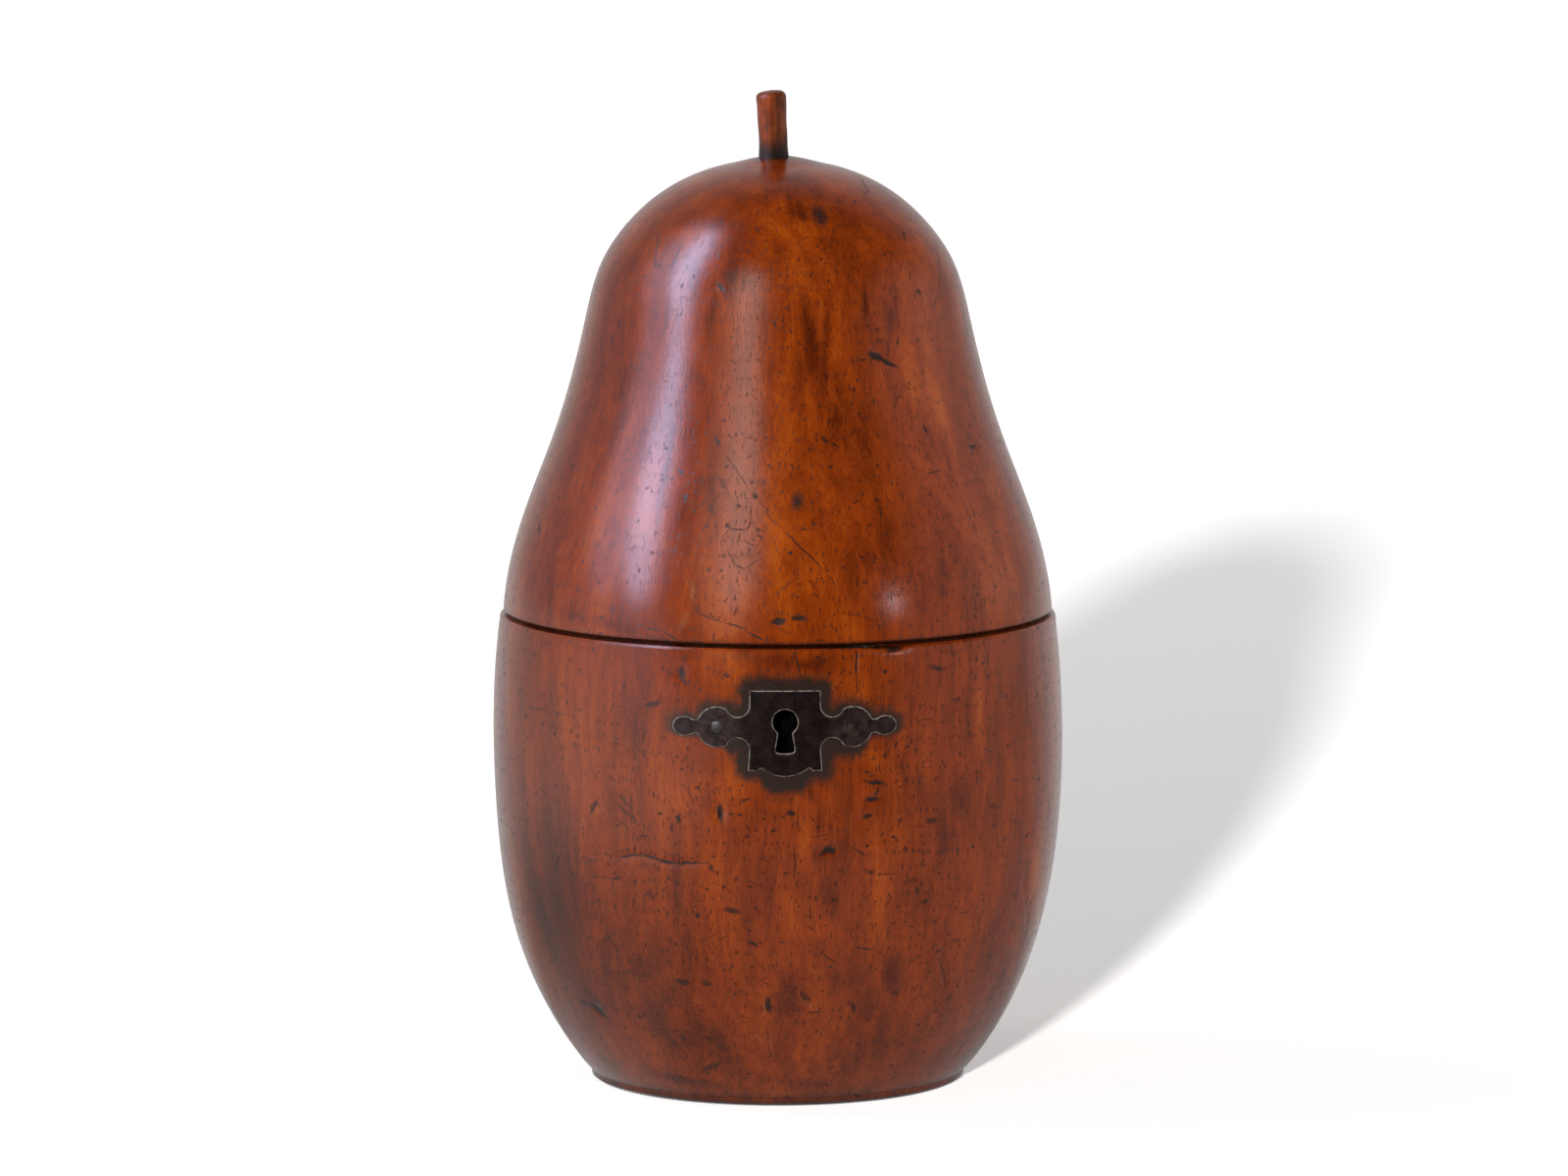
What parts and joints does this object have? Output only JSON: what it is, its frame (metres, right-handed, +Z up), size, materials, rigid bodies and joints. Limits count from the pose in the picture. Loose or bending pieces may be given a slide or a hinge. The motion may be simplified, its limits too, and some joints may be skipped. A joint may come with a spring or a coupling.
{
  "type": "tea caddy",
  "caption": "Turned pear-shaped wooden tea caddy: a hollow bowl with a hinged domed lid, a stalk on top, a foil lining and a sliding-bolt lock behind a shaped iron escutcheon.",
  "frame": {"origin": "centre of the foot, on the table", "axes": "+Z up along the caddy's turned axis, -Y towards the keyhole, +Y towards the hinge, +X to the right seen from the keyhole side"},
  "size_m": [0.0972, 0.0996, 0.1697],
  "materials": {
    "fruitwood": "old wax polish, worn and dented",
    "stem_wood": "dull dark stain",
    "black_iron": "blackened, bright on worn edges",
    "hinge_iron": "dull, browned",
    "lock_steel": "filed, dulled with age",
    "tin_foil": "dull, creased foil"
  },
  "bodies": {
    "bowl": {"base_bowl": "fruitwood", "base_foil_lining": "tin_foil", "escutcheon_plate": "black_iron", "escutcheon_pins": "black_iron", "lock_plate": "lock_steel", "lock_case": "lock_steel", "key_wards": "lock_steel", "lock_rivets": "lock_steel", "bolt_stump": "lock_steel", "bolt_spring": "lock_steel", "lock_screws": "lock_steel", "hinge_leaf_base": "hinge_iron", "hinge_pin": "hinge_iron", "base_leaf_screws": "hinge_iron"},
    "lid": {"lid_dome": "fruitwood", "stem": "stem_wood", "lid_foil_lining": "tin_foil", "hinge_leaf_lid": "hinge_iron", "lid_leaf_screws": "hinge_iron", "strike_plate": "lock_steel", "lock_staple": "lock_steel", "strike_nails": "lock_steel"},
    "bolt": {"lock_bolt": "lock_steel"}
  },
  "joints": [
    {"name": "lid_hinge", "type": "hinge", "parent": "bowl", "child": "lid", "pos_m": [0, 0.0486, 0.08025], "axis": [-1, 0, 0], "range_deg": [0, 105]},
    {"name": "lock_bolt_slide", "type": "slide", "parent": "bowl", "child": "bolt", "axis": [1, 0, 0], "range_m": [0, 0.0044]}
  ]
}
